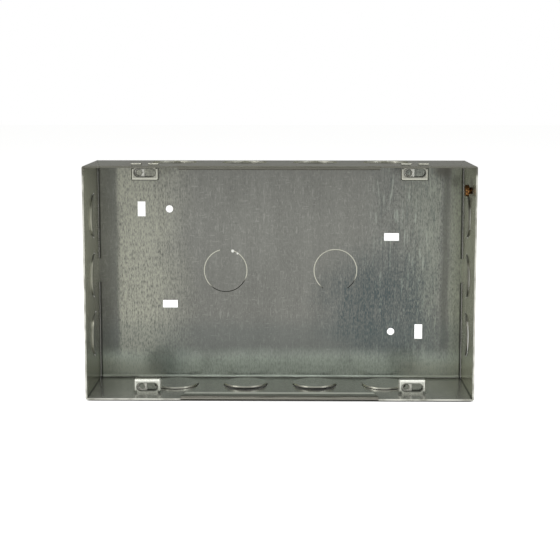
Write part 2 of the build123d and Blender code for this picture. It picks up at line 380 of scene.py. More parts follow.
@dataclass(frozen=True)
class ZincSheet:
    """Streaked hot-dip zinc on rolled sheet: cut edges bared, painted shade, highlights and reflections."""

    mid: Colour = (0.178, 0.180, 0.164)
    # Painted reflection: pale margins of the back.
    pale: Colour = (0.365, 0.370, 0.300)
    green: Colour = (0.200, 0.203, 0.145)
    # Painted reflection: pale foot and lanes of the back.
    foot: Colour = (0.385, 0.435, 0.375)
    # Painted reflection: mossy margins and lanes of the back.
    moss: Colour = (0.300, 0.325, 0.262)
    # Painted reflection: cool lanes, edge and spot on the back.
    cool: Colour = (0.074, 0.096, 0.094)
    # Painted reflection: dark patch low on the right of the back.
    deep: Colour = (0.060, 0.078, 0.080)
    # Painted shade: strip by the left end wall and line at the right of the back.
    dusk_shade: Colour = (0.095, 0.102, 0.084)
    outer: Colour = (0.205, 0.207, 0.168)
    cut: Colour = (0.54, 0.54, 0.49)
    scuffed: Colour = (0.30, 0.30, 0.26)
    # Painted highlight in the back's knockout grooves.
    painted_highlight: Colour = (0.52, 0.52, 0.44)
    lanced: Colour = (0.62, 0.62, 0.55)
    # Painted light: end walls' disc edges, lighter on the left, darker on the right.
    lanced_left_lit: Colour = (0.42, 0.42, 0.355)
    lanced_right_shaded: Colour = (0.15, 0.15, 0.125)
    # Painted highlight along the lower hem's free edge.
    hem_edge_highlight: Colour = (0.72, 0.73, 0.66)
    # Painted highlight across the lower hem's nose.
    fold_highlight: Colour = (0.26, 0.255, 0.22)
    shaded: Colour = (0.075, 0.073, 0.060)
    # Darker tone for the top rim and the hems' inner faces.
    darkened: Colour = (0.13, 0.128, 0.105)
    # Painted glint on the nicks in the left ring.
    nick_glint: Colour = (0.85, 0.86, 0.82)
    # Dark colour for painted shade, and for the knockout outlines outside.
    grime_and_shade: Colour = (0.018, 0.018, 0.014)
    rust: Colour = (0.085, 0.048, 0.022)
    shine: Colour = (1.0, 1.0, 0.97)
    dull: Colour = (0.07, 0.07, 0.045)
    rough: Span = (0.16, 0.30)
    rough_outside: float = 0.08
    metallic: Span = (0.62, 0.80)
    places: SheetPlaces = SheetPlaces()

    def material(self) -> Material:
        """Builds the finish."""
        return SheetPainter(self).painted()


class SheetPainter(Graph):
    """Paints the folded sheet coat by coat, with streaks that run from the back's foot to its head."""

    wall_turn: float = 0.7
    turned: Span = (0.5, 0.8)
    turned_back: Span = (-0.5, -0.8)
    turned_out: Span = (0.3, 0.6)
    edge_turn: Span = (-0.45, -0.70)
    flat_wall: Span = (0.90, 0.98)
    bend: Window = (0.15, 0.35, 0.90, 0.98)
    nose_front: Span = (0.20, -0.10)
    nose_under: Span = (-0.40, -0.60)
    nose_top: Span = (0.95, 0.70)
    end_layer: float = 17.0
    long_layer: float = 31.0
    streak_mix: dict[Grain, float] = {Grain.COLUMNS: 0.25, Grain.DASHES: 0.50, Grain.BLOTS: 0.25}
    verge_drift: float = 0.12
    level_drift: float = 0.25

    def __init__(self, tint: ZincSheet) -> None:
        """Adds the coordinates and noises that the coats share.

        Args:
            tint: the finish with its colours and places.
        """
        super().__init__(bpy.data.materials.new("streaked_zinc"))
        self.tint, self.place = tint, tint.places
        self.here = self.millimetres()
        self.x, self.y, self.z = self.split(self.here)
        self.nx, self.ny, self.nz = self.split(self.normal())
        self.wide, self.tall, self.steep = (self.size(value) for value in (self.x, self.z, self.nz))
        self.on_end = self.math("GREATER_THAN", self.size(self.nx), self.wall_turn)
        on_long = self.math("GREATER_THAN", self.steep, self.wall_turn)
        self.across = self.switch(self.on_end, self.x, self.y)
        self.along = self.switch(on_long, self.z, self.y)
        end_layer = self.product(self.nx, self.end_layer)
        self.layer = self.total(end_layer, self.product(self.nz, self.long_layer))
        mixed = [self.product(self.grain(kind), part) for kind, part in self.streak_mix.items()]
        self.streaks = self.total(*mixed)
        self.specks = self.band(self.streaks, 0.33, 0.65, 0.10, 1.0)
        self.ragged = self.stretch(self.grain(Grain.RAGGED), 0.2, 1.7)
        drift = self.stretch(self.grain(Grain.DRIFT), *self.place.drift)
        self.drifted = self.total(self.x, drift)
        self.verge = self.total(self.x, self.product(drift, self.verge_drift))
        self.level = self.total(self.z, self.product(drift, self.level_drift))
        in_front = self.band(self.ny, *self.turned_back)
        self.plate = self.product(in_front, self.band(self.y, *self.place.back_face))
        self.ring_radius = self.reach(self.minus(self.wide, self.place.ring_offset), self.z)
        self.outside = self.outer_faces()
        self.colour: Signal = tint.mid

    def switch(self, chosen: Signal, usual: Signal, other: Signal) -> Signal:
        """Takes the usual number where chosen is 0, and the other where it is 1."""
        kept = self.product(usual, self.minus(1.0, chosen))
        return self.total(kept, self.product(other, chosen))

    def grain(self, kind: Grain) -> Socket:
        """Noise stretched along the sheet.

        Args:
            kind: which one.

        Returns:
            Noise from 0 to 1.
        """
        across, along, detail = kind.value
        place = self.combine(self.product(self.across, across), self.product(self.along, along), self.layer)
        return self.noise(place, detail)

    def spot(self, place: Point, start: float, end: float) -> Socket:
        """Soft round spot, by the distances where it begins to show and where it is full."""
        away = self.node("ShaderNodeVectorMath", {0: self.here, 1: place}, operation="DISTANCE")
        return self.band(away.outputs["Value"], start, end)

    def lay(self, coat: Signal, *shares: Signal) -> None:
        """Lays a coat over the colour so far, by the product of its shares."""
        self.colour = self.blend(self.product(*shares), self.colour, coat)

    def outer_faces(self) -> Signal:
        """Marks the outer faces, which point away from the middle of the box.

        Returns:
            1 on the outside.
        """
        place = self.place
        faces = [self.product(self.band(self.ny, *self.turned_out), self.band(self.y, *place.back_skin))]
        walls = ((self.nz, self.z, place.half_height), (self.nx, self.x, place.half_width))
        for turn, along, half in walls:
            outward = self.band(self.product(turn, self.math("SIGN", along)), *self.turned_out)
            depth = self.minus(self.size(along), half)
            faces.append(self.product(outward, self.band(depth, *place.outer_skin)))
        return self.largest(*faces)

    def streak(self) -> None:
        """Starts the colour with the zinc's bands, streaks, scratches and specks."""
        tint, place = self.tint, self.place
        dots, scratches, ticks = (self.grain(kind) for kind in (Grain.DOTS, Grain.SCRATCHES, Grain.TICKS))
        within = self.band(self.wide, *place.calm, 0.35, 1.0)
        strength = self.product(self.band(self.wide, *place.lively, 0.9, 2.8), within)
        fine = self.product(self.minus(self.streaks, 0.5), strength)
        bright = self.largest(
            self.product(self.band(dots, 0.62, 0.74), 0.30),
            self.product(self.band(scratches, 0.58, 0.72), 0.32),
            self.product(self.band(ticks, 0.60, 0.72), 0.32),
        )
        dark = self.product(self.band(dots, 0.36, 0.26), strength, 0.16)
        tone = self.total(self.stretch(self.grain(Grain.BANDS), 0.78, 1.22), fine, bright)
        sinking = self.band(self.z, *place.lower_half, 1.02, 0.87)
        # Painted light on the walls by the way they face; the tone also grows darker towards the bottom.
        tone = self.product(self.minus(tone, dark), self.painted_wall_light(), sinking)
        self.colour = self.shade(self.blend(self.product(self.on_end, 0.8), tint.mid, tint.green), tone)

    def painted_wall_light(self) -> Signal:
        """Painted light: lifts the walls' tone above the back's, by the way each wall faces.

        Returns:
            1 on the back, more on the walls.
        """
        place = self.place
        floor_ends = self.band(self.wide, *place.floor_ends, 0.45, 1.05)
        upward = self.product(self.band(self.nz, *self.turned), floor_ends)
        from_right = self.product(self.band(self.nx, *self.turned_back), 1.15)
        head = self.band(self.z, *place.left_head, 0.25, 1.05)
        from_left = self.product(self.band(self.nx, *self.turned), head)
        return self.total(1.0, upward, from_right, from_left)

    def margins(self) -> None:
        """Adds a painted shade strip at the back's left, and pale speckled painted reflection margins."""
        tint, place = self.tint, self.place
        # Painted shade: a dark strip by the left end wall, broken up by a patchy noise.
        worn = self.stretch(self.grain(Grain.SHADE_BREAKUP), 0.75, 0.0)
        self.lay(tint.dusk_shade, self.plate, self.window(self.verge, *place.end_wall_shade_strip), worn)
        # Painted reflection: pale and mossy speckled margins.
        left = self.band(self.verge, *place.pale_start)
        self.lay(tint.pale, self.plate, left, self.band(self.drifted, *place.pale_end), self.specks)
        right = self.band(self.drifted, *place.moss_start)
        sinking = self.band(self.z, *place.moss_sinks, 0.6, 0.2)
        self.lay(tint.moss, self.plate, right, self.band(self.verge, *place.moss_end), self.specks, sinking)
        self.lay(tint.moss, self.plate, self.band(self.verge, *place.seam_strip), self.specks, 0.85)

    def right_lanes(self) -> None:
        """Paints cool and pale reflection lanes at the back's right, and a shadow line and spot past them.
        """
        tint, place = self.tint, self.place
        # Painted reflection: cool and pale lanes.
        lanes = self.grain(Grain.LANES)
        laned = self.product(self.plate, self.window(self.drifted, *place.lanes))
        self.lay(tint.cool, laned, self.band(lanes, 0.46, 0.34, 0.13, 0.42))
        lit = self.blend(self.band(self.drifted, *place.mossy_lanes), tint.foot, tint.moss)
        self.lay(lit, laned, self.band(lanes, 0.57, 0.66), 0.44)
        # Painted shadow: a soft dark line, and a dark spot near the top right corner.
        line = self.window(self.verge, *place.shadow_line)
        self.lay(tint.dusk_shade, self.plate, line, self.band(self.z, *place.shadow_line_foot), 0.55)
        self.lay(tint.shaded, self.plate, self.spot(place.shadow_spot, *place.shadow_spot_reach), 0.85)

    def low_zones(self) -> None:
        """Adds the dark patch low on the right and the back's pale foot, both painted reflection."""
        tint, place = self.tint, self.place
        # Painted reflection: dark patch, cool edge, pale foot, dark spot and pale low margins.
        away = self.reach(self.minus(self.drifted, place.patch_x), self.minus(self.z, place.patch_z))
        patch = self.product(self.band(away, *place.patch_reach), self.ragged)
        self.lay(tint.deep, self.plate, patch, self.stretch(self.specks, 1.3, 0.2))
        self.lay(tint.cool, self.plate, self.band(self.level, *place.cool_edge), 0.30)
        broken = self.product(self.stretch(self.specks, 0.45, 1.0), self.stretch(self.ragged, 0.6, 1.1))
        self.lay(tint.foot, self.plate, self.band(self.level, *place.pale_foot_reflection), broken)
        spot = self.spot(place.foot_spot, *place.foot_spot_reach)
        self.lay(tint.cool, self.plate, spot, self.ragged, 0.38)
        ends = self.product(self.band(self.wide, *place.low_margin_start), self.specks, 0.6)
        self.lay(tint.pale, self.plate, self.band(self.level, *place.low_margin), ends)

    def hole_rims(self) -> None:
        """Paints highlit long-wall knockout rims and shaded end-wall ones, towards the front."""
        tint, place = self.tint, self.place
        past_pair = self.size(self.minus(self.wide, place.long_pitch))
        on_long = self.minus(past_pair, place.long_pitch / 2)
        past_middle = self.size(self.minus(self.tall, place.end_pitch))
        aside = self.switch(self.on_end, on_long, self.math("MINIMUM", self.tall, past_middle))
        behind = self.minus(self.y, place.hole_y)
        outward = self.minus(self.reach(aside, behind), place.hole_radius)
        front = self.band(behind, *place.hole_front)
        # Painted highlight: light rims round the long walls' knockouts, broken up by noise.
        painted_highlight = self.product(self.band(self.grain(Grain.RIMS), 0.30, 0.55), self.minus(1.0, self.on_end))
        self.lay(tint.cut, front, self.window(outward, *place.hole_highlight), painted_highlight, 0.65)
        # Painted shade: dark lines inside and outside the end walls' knockout rims.
        inside_edge = self.window(outward, *place.hole_shade_inside)
        outside_edge = self.window(outward, *place.hole_shade_outside)
        self.lay(tint.grime_and_shade, front, self.largest(inside_edge, outside_edge), self.on_end, 0.45)

    def rings(self) -> None:
        """Paints the back's two knockout grooves highlit above and shaded below, and glints on two nicks.
        """
        tint, place = self.tint, self.place
        inner, outer, soft = place.ring_inner, place.ring_outer, place.ring_soft
        walls = self.window(self.ring_radius, inner - soft, inner, outer, outer + soft)
        floor = self.window(self.minus(self.y, place.ring_floor), *place.ring_depth)
        aside = self.minus(self.x, self.product(self.math("SIGN", self.x), place.ring_offset))
        # Painted highlight on the grooves' upper part, painted shade on the lower part.
        bare_and_highlight = self.band(self.minus(self.z, self.product(aside, place.ring_tilt)), *place.ring_highlight_edge)
        self.lay(self.blend(bare_and_highlight, tint.grime_and_shade, tint.painted_highlight), walls, floor)
        # Nicks with a painted glint.
        for angle_deg, reach in place.nick_glints_deg_and_reach:
            turn = math.radians(angle_deg)
            across, up = inner * math.cos(turn) - place.ring_offset, inner * math.sin(turn)
            self.lay(tint.nick_glint, self.spot((across, -place.sheet, up), reach, reach / 2))

    def seams(self) -> None:
        """Paints shade into the seams, bends and corners, and stains the sheet round the earth screw."""
        tint, place = self.tint, self.place
        from_end = self.minus(self.wide, place.half_width - place.sheet)
        from_long = self.minus(self.tall, place.half_height - place.sheet)
        past_neck = self.band(self.minus(self.tall, place.neck_half), *place.past_neck)
        open_seam = self.product(self.band(self.y, *place.seam_depth), past_neck)
        # Painted shade: dark lines in the open seams, inner corners, the long walls' foot and the bends.
        self.lay(tint.grime_and_shade, self.band(from_end, *place.seam), open_seam, 0.82)
        self.lay(tint.grime_and_shade, self.band(from_end, *place.corner), self.band(from_long, *place.corner), 0.8)
        flat = self.product(self.band(self.steep, *self.flat_wall), self.band(from_long, *place.wall_skin))
        self.lay(tint.grime_and_shade, flat, self.band(self.y, *place.wall_foot), 0.6)
        bend = self.window(self.steep, *self.bend)
        self.lay(tint.grime_and_shade, bend, self.band(self.y, *place.bend_foot), 0.30)
        blotches = self.band(self.grain(Grain.STAIN), 0.26, 0.52)
        self.lay(tint.rust, self.spot(place.screw, *place.screw_stain), blotches, 0.9)

    def weather(self) -> None:
        """Lays the outer faces' dull drawn coat, with the outlines of the back's knockouts."""
        tint, place = self.tint, self.place
        clouds = self.stretch(self.grain(Grain.CLOUDS), 0.70, 1.30)
        drawn = self.stretch(self.grain(Grain.DRAWN), -0.15, 0.15)
        coat = self.shade(tint.outer, self.total(clouds, drawn, self.stretch(self.streaks, -0.5, 0.5)))
        ring = self.window(self.minus(self.ring_radius, place.ring_inner), *place.ring_outline)
        outline = self.product(ring, self.band(self.y, *place.back_skin), 0.7)
        self.lay(self.blend(outline, coat, tint.grime_and_shade), self.outside)

    def edges(self) -> None:
        """Bares the cut edges that face the front, and paints a highlight along the lower hem's free edge.
        """
        tint, place = self.tint, self.place
        standing = self.product(self.band(self.ny, *self.edge_turn), self.band(self.y, *place.front_edges))
        within_hem = self.band(self.minus(self.wide, place.hem_half), *place.hem_ends)
        near_rim = self.band(self.minus(self.y, place.rim), *place.rim_depth)
        bare_and_highlight = self.blend(self.band(self.grain(Grain.SCUFFS), 0.34, 0.60), tint.scuffed, tint.cut)
        # Painted light: the left end wall's disc edges lighter, the right's darker.
        lanced_end = self.blend(self.band(self.x, *place.middle), tint.lanced_left_lit, tint.lanced_right_shaded)
        lanced = self.blend(self.band(self.wide, *place.end_walls), tint.lanced, lanced_end)
        # The top rim is darker than the other cut edges.
        rim = self.blend(self.band(self.z, *place.top_rim), bare_and_highlight, tint.darkened)
        self.lay(self.blend(near_rim, lanced, rim), standing)
        self.lay(self.nose(), within_hem, near_rim)
        before_edge = self.minus(self.y, place.hem_free_edge)
        skin = self.band(self.minus(self.tall, place.hem_inner), *place.hem_skin)
        on_hem = self.product(within_hem, skin, self.band(before_edge, *place.hem_cut))
        self.lay(tint.darkened, on_hem, 0.6)
        # Painted highlight along the lower hem's free edge.
        painted_highlight = self.band(before_edge, *place.hem_highlight)
        self.lay(tint.hem_edge_highlight, on_hem, painted_highlight, self.band(self.z, *place.below_middle))

    def nose(self) -> Socket:
        """Paints highlight and shade on the lower hem's folded nose, and shade on the upper one's front.

        Returns:
            The colour.
        """
        tint = self.tint
        # Painted highlight across the lower nose's middle, painted shade above and below it.
        lower = self.blend(self.band(self.nz, *self.nose_front), tint.shaded, tint.fold_highlight)
        lower = self.blend(self.band(self.nz, *self.nose_under), lower, tint.shaded)
        # Painted shade on the upper nose's front and underside.
        upper = self.blend(self.band(self.nz, *self.nose_top), tint.outer, tint.shaded)
        return self.blend(self.band(self.z, *self.place.middle), lower, upper)

    def painted(self) -> Material:
        """Lays all coats in their order, and closes the tree with roughness, waves and shine.

        Returns:
            The material.
        """
        tint = self.tint
        self.streak()
        self.margins()
        self.right_lanes()
        self.low_zones()
        self.hole_rims()
        self.rings()
        self.seams()
        self.weather()
        self.edges()
        rough = self.stretch(self.streaks, *tint.rough)
        rough = self.total(rough, self.product(self.outside, tint.rough_outside))
        height = self.total(self.product(self.streaks, 0.035), self.grain(Grain.WAVES))
        gleam = self.blend(self.outside, tint.shine, tint.dull)
        metallic = self.stretch(self.outside, *tint.metallic)
        return self.metal(self.colour, rough, self.bump(height, 0.3, 0.4), metallic, gleam)


@dataclass(frozen=True)
class WornMetal:
    """Metal of small pieces: zinc plate unless told otherwise, with worn and soiled places."""

    name: str
    clean: Colour
    worn: Colour
    soil: Colour
    shine: Colour = (1.0, 1.0, 1.0)
    rough: Span = (0.20, 0.40)
    metallic: float = 0.75
    wear_waves: Point = (0.9, 2.2, 1.6)
    wear_octaves: float = 4.0
    wear_band: Span = (0.42, 0.62)
    soil_waves: Point = (4.0, 5.0, 5.0)
    soil_octaves: float = 2.0
    soil_band: Span = (0.56, 0.72)
    soil_share: float = 0.55
    relief: Span = (1.0, 0.3)
    relief_mm: float = 0.06
    relief_strength: float = 0.35

    def painted_light(self, graph: Graph, colour: Signal) -> tuple[Signal, Signal]:
        """Paints no light: gives the colour as it is, and the tint of the shine at a grazing angle."""
        return colour, self.shine

    def material(self) -> Material:
        """Builds the finish.

        Returns:
            The material.
        """
        graph = Graph(bpy.data.materials.new(self.name))
        worn = graph.own_noise(self.wear_waves, self.wear_octaves)
        soil = graph.own_noise(self.soil_waves, self.soil_octaves)
        colour = graph.blend(graph.band(worn, *self.wear_band), self.clean, self.worn)
        darkened = graph.product(graph.band(soil, *self.soil_band), self.soil_share)
        colour, gleam = self.painted_light(graph, graph.blend(darkened, colour, self.soil))
        height = graph.total(graph.product(worn, self.relief[0]), graph.product(soil, self.relief[1]))
        bumped = graph.bump(height, self.relief_mm, self.relief_strength)
        return graph.metal(colour, graph.stretch(worn, *self.rough), bumped, self.metallic, gleam)


@dataclass(frozen=True)
class LugPlate(WornMetal):
    """Zinc plate on a lug: painted highlit borders and shade at slot and foot, dull tabs; in millimetres.
    """

    # Painted highlight colour for the borders.
    bare_and_highlight: Colour = (0.74, 0.75, 0.68)
    # Dark colour for painted shade round slot, foot and outline.
    grime_and_shade: Colour = (0.03, 0.03, 0.025)
    dull: Colour = (0.07, 0.07, 0.045)
    middle: float = 73.5
    wall: float = 63.1
    slot_height: float = 3.5
    slot_half: float = 5.7
    slot_radius: float = 2.1
    slot_shade: Span = (0.55, 0.30)
    half_width: float = 7.45
    height: float = 7.8
    inner_side: Span = (-0.3, 0.0)
    highlight_side: Span = (-1.3, -0.9)
    highlight_head: Span = (-1.5, -1.1)
    foot_shade: Span = (1.7, 1.3)
    foot_ends: Span = (-1.9, -1.4)
    outline_side: Span = (-0.5, -0.2)
    outline_head: Span = (-0.7, -0.4)
    outline_foot: Span = (0.0, 0.3)
    upper_half: Span = (0.0, 1.0)
    # Shares of the painted highlight and the painted shade.
    highlight_share: float = 0.85
    shade_share: float = 0.75

    def painted_light(self, graph: Graph, colour: Signal) -> tuple[Signal, Signal]:
        """Paints highlit borders and shade round slot, foot and outline; dulls the tabs outside the wall.

        Args:
            graph: the finish's tree.
            colour: the colour so far.

        Returns:
            The new colour, and the tint of the shine at a grazing angle.
        """
        x, _, z = graph.split(graph.millimetres())
        across = graph.size(graph.minus(graph.size(x), self.middle))
        past_side = graph.minus(across, self.half_width)
        up = graph.minus(self.wall, graph.size(z))
        past_head = graph.minus(up, self.height)
        inside = graph.band(up, *self.inner_side)
        sides = graph.band(past_side, *self.highlight_side)
        highlight_border = graph.product(graph.largest(sides, graph.band(past_head, *self.highlight_head)), inside)
        # Painted highlight along the lug's sides and head.
        colour = graph.blend(graph.product(highlight_border, self.highlight_share), colour, self.bare_and_highlight)
        past_slot = graph.largest(graph.minus(across, self.slot_half - self.slot_radius), 0.0)
        from_slot = graph.minus(graph.reach(past_slot, graph.minus(up, self.slot_height)), self.slot_radius)
        foot_ends = graph.band(past_side, *self.foot_ends)
        foot = graph.product(graph.band(up, *self.foot_shade), inside, foot_ends)
        sides = graph.band(past_side, *self.outline_side)
        outline = graph.largest(graph.band(past_head, *self.outline_head), sides)
        above_foot = graph.band(up, *self.outline_foot)
        outline = graph.product(outline, graph.band(z, *self.upper_half), above_foot)
        # Painted shade round the slot, in the foot's end notches and, on upper lugs, along head and sides.
        shade_marks = graph.largest(graph.band(from_slot, *self.slot_shade), foot, outline)
        colour = graph.blend(graph.product(shade_marks, self.shade_share), colour, self.grime_and_shade)
        return colour, graph.blend(inside, self.dull, self.shine)


@dataclass(frozen=True)
class PaleFloor:
    """White floor, white in picture and reflections alike; its glow stops under the box, a painted shadow.
    """

    paint: Colour = (0.80, 0.80, 0.79)
    lift: float = 0.62
    shadow_half_width: float = 104.0
    shadow_front: float = -48.0
    shadow_back: float = -2.0
    shadow_edge: float = 2.0

    def material(self) -> Material:
        """Builds the finish.

        Returns:
            The material.
        """
        graph = Graph(bpy.data.materials.new("pale_floor"))
        x, y, _ = graph.split(graph.millimetres())
        # Painted shadow: the glow stops under the box's footprint.
        lit = graph.largest(
            graph.band(graph.size(x), self.shadow_half_width, self.shadow_half_width + self.shadow_edge),
            graph.band(y, self.shadow_front, self.shadow_front - self.shadow_edge),
            graph.band(y, self.shadow_back, self.shadow_back + self.shadow_edge),
        )
        matt = graph.out("ShaderNodeBsdfDiffuse", {"Color": self.paint})
        glow = graph.out("ShaderNodeEmission", {"Strength": graph.product(graph.seen(), lit, self.lift)})
        return graph.close(graph.out("ShaderNodeAddShader", {0: matt, 1: glow}))


@dataclass
class ThreadWinder:
    """Geometry Nodes tree that winds a ridge of diamond section round an axis."""

    name: str = "thread_winder"
    steps_per_turn: int = 32
    section_corners: int = 4

    def tree(self) -> bpy.types.NodeTree:
        """Builds the tree with its named inputs.

        Returns:
            The node group.
        """
        group = bpy.data.node_groups.new(self.name, "GeometryNodeTree")
        group.interface.new_socket("Geometry", in_out="OUTPUT", socket_type="NodeSocketGeometry")
        for kind, labels in (
            ("NodeSocketFloat", ("Turns", "Length", "Radius", "Ridge")),
            ("NodeSocketVector", ("Place", "Turn")),
            ("NodeSocketMaterial", ("Finish",)),
        ):
            for label in labels:
                group.interface.new_socket(label, in_out="INPUT", socket_type=kind)
        graph = Graph(group)
        given = graph.node("NodeGroupInput").outputs
        sizes = {"Rotations": given["Turns"], "Height": given["Length"], "Resolution": self.steps_per_turn}
        sizes |= {"Start Radius": given["Radius"], "End Radius": given["Radius"]}
        helix = graph.out("GeometryNodeCurveSpiral", sizes)
        upright = graph.out("GeometryNodeSetCurveNormal", {"Curve": helix}, mode="Z_UP")
        sizes = {"Resolution": self.section_corners, "Radius": given["Ridge"]}
        section = graph.out("GeometryNodeCurvePrimitiveCircle", sizes)
        parts = {"Curve": upright, "Profile Curve": section, "Fill Caps": True}
        ridge = graph.out("GeometryNodeCurveToMesh", parts)
        parts = {"Geometry": ridge, "Translation": given["Place"], "Rotation": given["Turn"]}
        placed = graph.out("GeometryNodeTransform", parts)
        real = graph.out("GeometryNodeRealizeInstances", {"Geometry": placed})
        painted = graph.out("GeometryNodeSetMaterial", {"Geometry": real, "Material": given["Finish"]})
        graph.node("NodeGroupOutput", {"Geometry": painted})
        return group


@dataclass(frozen=True)
class Thread:
    """One thread's sizes and place, in metres."""

    pitch: float
    length: float
    radius: float
    ridge: float
    place: Point
    turn: Point

    def mesh(self, group: bpy.types.NodeTree, finish: Material) -> Mesh:
        """Winds the thread into a plain mesh.

        Args:
            group: the winder's node group.
            finish: the ridge's material.

        Returns:
            The mesh.
        """
        holder = linked("thread", bpy.data.meshes.new("thread"))
        modifier = holder.modifiers.new("wind", "NODES")
        modifier.node_group = group
        values = {"Turns": self.length / self.pitch, "Length": self.length, "Radius": self.radius}
        values |= {"Ridge": self.ridge, "Place": self.place, "Turn": self.turn, "Finish": finish}
        for item in group.interface.items_tree:
            if item.in_out == "INPUT":
                modifier[item.identifier] = values[item.name]
        return settled(holder)


def linked(name: str, data: bpy.types.ID) -> bpy.types.Object:
    """Puts an object into the scene.

    Args:
        name: the object's name.
        data: its mesh, lamp or camera.

    Returns:
        The object.
    """
    made = bpy.data.objects.new(name, data)
    bpy.context.scene.collection.objects.link(made)
    return made


def settled(holder: bpy.types.Object) -> Mesh:
    """Turns what an object's modifiers make into a plain mesh, and removes the object.

    Args:
        holder: the object.

    Returns:
        The mesh.
    """
    graph = bpy.context.evaluated_depsgraph_get()
    mesh = bpy.data.meshes.new_from_object(holder.evaluated_get(graph))
    bpy.data.objects.remove(holder)
    return mesh


def joined(name: str, meshes: list[Mesh], finish: Material) -> bpy.types.Object:
    """Joins meshes into one piece at the origin, smooth but for its sharp edges.

    Args:
        name: the piece's name.
        meshes: its parts, already in place.
        finish: its material.

    Returns:
        The piece.
    """
    whole = bmesh.new()
    for mesh in meshes:
        whole.from_mesh(mesh)
        bpy.data.meshes.remove(mesh)
    for face in whole.faces:
        face.material_index = 0
        face.smooth = True
    result = bpy.data.meshes.new(name)
    whole.to_mesh(result)
    whole.free()
    result.materials.append(finish)
    result.set_sharp_from_angle(angle=math.radians(CREASE_DEG))
    return linked(name, result)


def rings_mesh(name: str, rings: list[list[Vector]], closed: bool) -> Mesh:
    """Skins a row of rings of equal count.

    Args:
        name: the mesh's name.
        rings: the rings in order.
        closed: whether the last ring joins the first; if not, both ends are capped.

    Returns:
        The mesh, with its faces outwards.
    """
    shell = bmesh.new()
    rows = [[shell.verts.new(point) for point in ring] for ring in rings]
    pairs = list(zip(rows, rows[1:]))
    if closed:
        pairs.append((rows[-1], rows[0]))
    for lower, upper in pairs:
        count = len(lower)
        for index in range(count):
            after = (index + 1) % count
            shell.faces.new((lower[index], lower[after], upper[after], upper[index]))
    if not closed:
        shell.faces.new(reversed(rows[0]))
        shell.faces.new(rows[-1])
    bmesh.ops.recalc_face_normals(shell, faces=shell.faces)
    mesh = bpy.data.meshes.new(name)
    shell.to_mesh(mesh)
    shell.free()
    return mesh


@dataclass
class SlidingNut:
    """Square pressed nut with a threaded hole, in the cage of one lug."""

    corner: Corner
    winder: bpy.types.NodeTree
    pitch: float = 0.6 * MM
    minor_radius: float = 1.45 * MM
    countersink: float = 0.2 * MM
    chamfer: float = 0.35 * MM
    sides: int = 96
    squareness: float = 14.0
    roundness: float = 2.0

    @property
    def node(self) -> str:
        """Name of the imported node."""
        return f"nut_{self.corner.value}"

    def ring(self, centre: Vector, y: float, half: float, power: float) -> list[Vector]:
        """One ring round the hole.

        Args:
            centre: the nut's centre.
            y: the ring's place along the hole.
            half: half its width.
            power: 2 for a circle, more for a rounded square.

        Returns:
            The ring's points.
        """
        points = []
        for index in range(self.sides):
            angle = 2 * math.pi * (index + 0.5) / self.sides
            across, up = math.cos(angle), math.sin(angle)
            reach = half * (abs(across) ** power + abs(up) ** power) ** (-1 / power)
            points.append(Vector((centre.x + reach * across, y, centre.z + reach * up)))
        return points

    def build(self, finish: Material) -> bpy.types.Object:
        """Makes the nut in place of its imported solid.

        Args:
            finish: its material.

        Returns:
            The piece.
        """
        low, high = (Vector(corner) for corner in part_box(self.node))
        centre = (low + high) / 2
        half = (high.x - low.x) / 2
        ridge = self.pitch / 2
        major = self.minor_radius + ridge
        mouth = major + self.countersink
        sections = (
            (low.y, mouth, self.roundness),
            (low.y, half - self.chamfer, self.squareness),
            (low.y + self.chamfer / 2, half, self.squareness),
            (high.y - self.chamfer / 2, half, self.squareness),
            (high.y, half - self.chamfer, self.squareness),
            (high.y, mouth, self.roundness),
            (high.y - ridge, major, self.roundness),
            (low.y + ridge, major, self.roundness),
        )
        blank = rings_mesh(self.node, [self.ring(centre, *section) for section in sections], closed=True)
        length = high.y - low.y - 2 * ridge
        thread = Thread(
            pitch=self.pitch,
            length=length,
            radius=major,
            ridge=ridge,
            place=(centre.x, low.y + ridge + length, centre.z),
            turn=(math.radians(90.0), 0.0, 0.0),
        )
        piece = joined(f"{self.node}_threaded", [blank, thread.mesh(self.winder, finish)], finish)
        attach(piece, self.node)
        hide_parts(self.node)
        return piece


